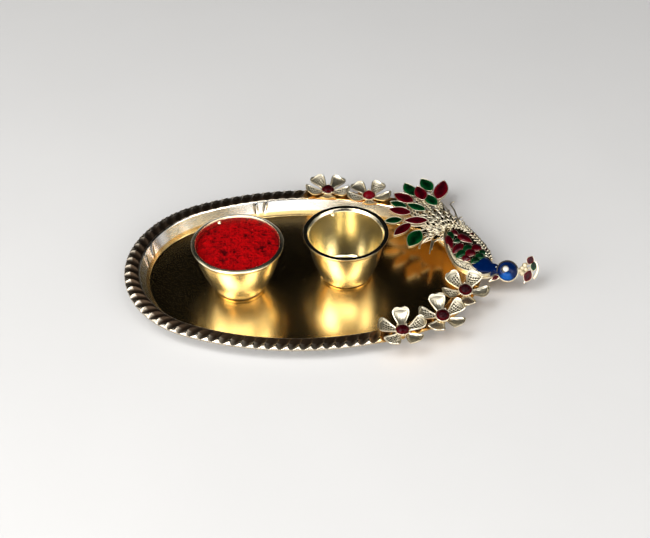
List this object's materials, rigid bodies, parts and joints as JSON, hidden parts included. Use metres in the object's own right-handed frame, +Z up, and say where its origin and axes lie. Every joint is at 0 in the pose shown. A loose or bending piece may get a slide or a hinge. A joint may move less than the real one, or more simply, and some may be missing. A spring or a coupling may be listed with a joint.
{
  "type": "puja thali",
  "caption": "Oval offering tray with a fluted rim, a cup of red powder, an empty cup and a cast peacock and flowers riveted along the rim.",
  "frame": {"origin": "middle of the tray's flat underside, on the surface it stands on", "axes": "+X along the tray's length towards the peacock, +Y towards the back of the tray, +Z up"},
  "size_m": [0.27, 0.1715, 0.038],
  "materials": {
    "tray_gold": "pressed sheet plated in satin gold, brighter on the fluted rim",
    "cup_gold": "pale gold plate, softly polished",
    "cast_metal": "cast metal, champagne silver plate, bright edges",
    "rivet_metal": "plain brass rivets",
    "red_stone": "deep red domed stone, polished",
    "red_enamel": "glossy red enamel",
    "green_enamel": "glossy green enamel",
    "blue_enamel": "glossy blue enamel",
    "white_stone": "white stone, polished",
    "red_powder": "loose red powder, matte, lumpy"
  },
  "bodies": {
    "tray_and_ornaments": {"tray": "tray_gold", "flower_1": "cast_metal", "flower_2": "cast_metal", "flower_3": "cast_metal", "flower_4": "cast_metal", "flower_5": "cast_metal", "flower_stone_1": "red_stone", "flower_stone_2": "red_stone", "flower_stone_3": "red_stone", "flower_stone_4": "red_stone", "flower_stone_5": "red_stone", "flower_rivets": "rivet_metal", "tail_frame": "cast_metal", "tail_enamel_red": "red_enamel", "tail_enamel_green": "green_enamel", "peacock_body": "cast_metal", "wing_enamel_red": "red_enamel", "wing_enamel_green": "green_enamel", "breast_enamel": "blue_enamel", "peacock_head": "cast_metal", "head_enamel": "blue_enamel", "beak_enamel": "red_enamel", "eye_stone": "white_stone", "crest": "cast_metal", "crest_beads": "white_stone", "crest_enamel_red": "red_enamel", "crest_enamel_green": "green_enamel", "peacock_rivets": "rivet_metal"},
    "powder_cup": {"kumkum_cup": "cup_gold", "kumkum_powder": "red_powder"},
    "second_cup": {"empty_cup": "cup_gold"}
  },
  "joints": [
    {"name": "powder_cup_lift", "type": "slide", "parent": "tray_and_ornaments", "child": "powder_cup", "axis": [0, 0, 1], "range_m": [0, 0.08]},
    {"name": "empty_cup_lift", "type": "slide", "parent": "tray_and_ornaments", "child": "second_cup", "axis": [0, 0, 1], "range_m": [0, 0.08]}
  ]
}
